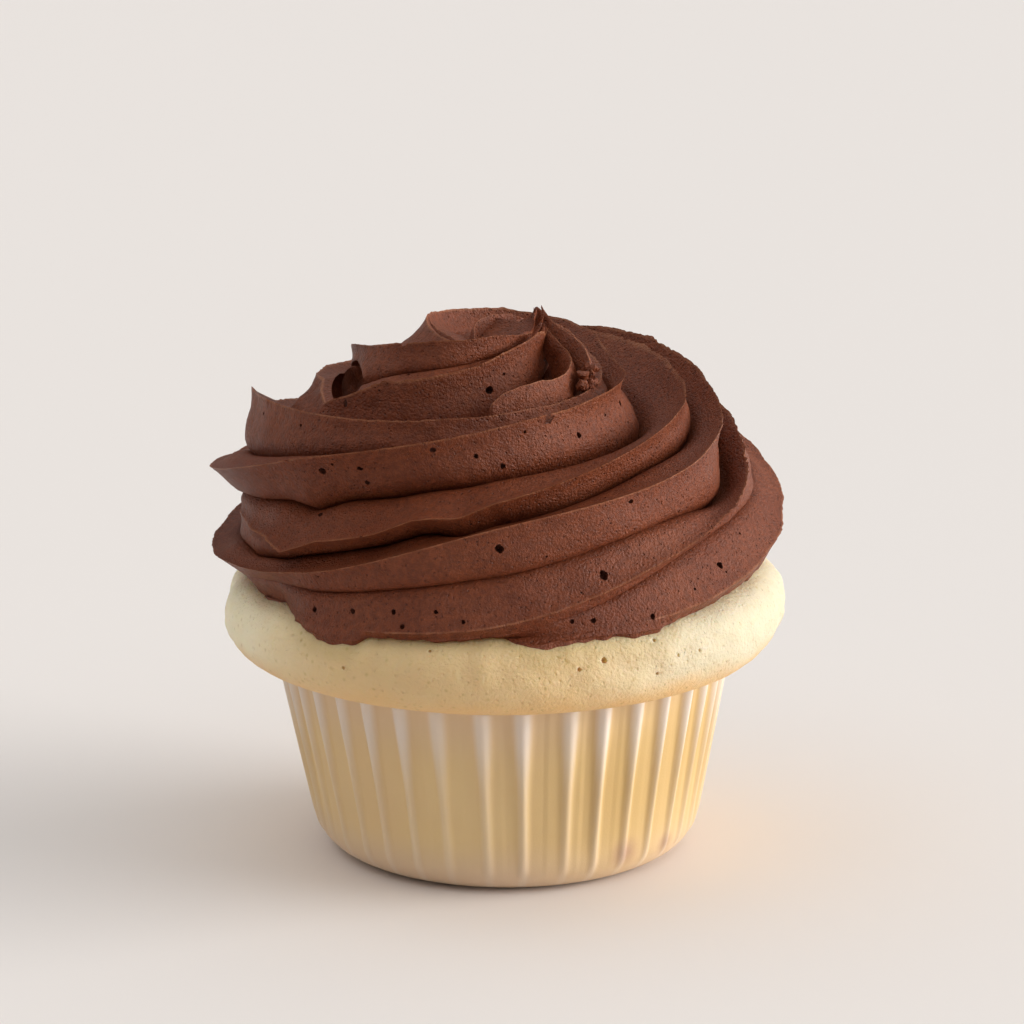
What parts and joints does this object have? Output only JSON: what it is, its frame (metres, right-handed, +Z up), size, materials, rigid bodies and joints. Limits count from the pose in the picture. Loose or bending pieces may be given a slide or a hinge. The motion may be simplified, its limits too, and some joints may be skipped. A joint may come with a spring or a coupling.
{
  "type": "cupcake",
  "caption": "Vanilla cupcake in a pleated paper case, risen over the rim, topped with a wide low swirl of piped chocolate buttercream that ends in a small torn peak.",
  "frame": {"origin": "centre of the flat base of the paper case, on the surface that it stands on", "axes": "+Z up, -Y towards the front of the cupcake, +X to the right seen from the front, towards which the peak leans"},
  "size_m": [0.0787, 0.078, 0.0753],
  "materials": {
    "paper_case": "thin pleated baking paper, soaked with butter and slightly see-through, satin",
    "cake": "matte baked sponge, pale cream on top and golden round the lip",
    "frosting": "matte whipped chocolate buttercream with a fine sandy grain"
  },
  "bodies": {
    "root": {"paper_case": "paper_case", "cake": "cake", "frosting": "frosting"}
  },
  "joints": []
}
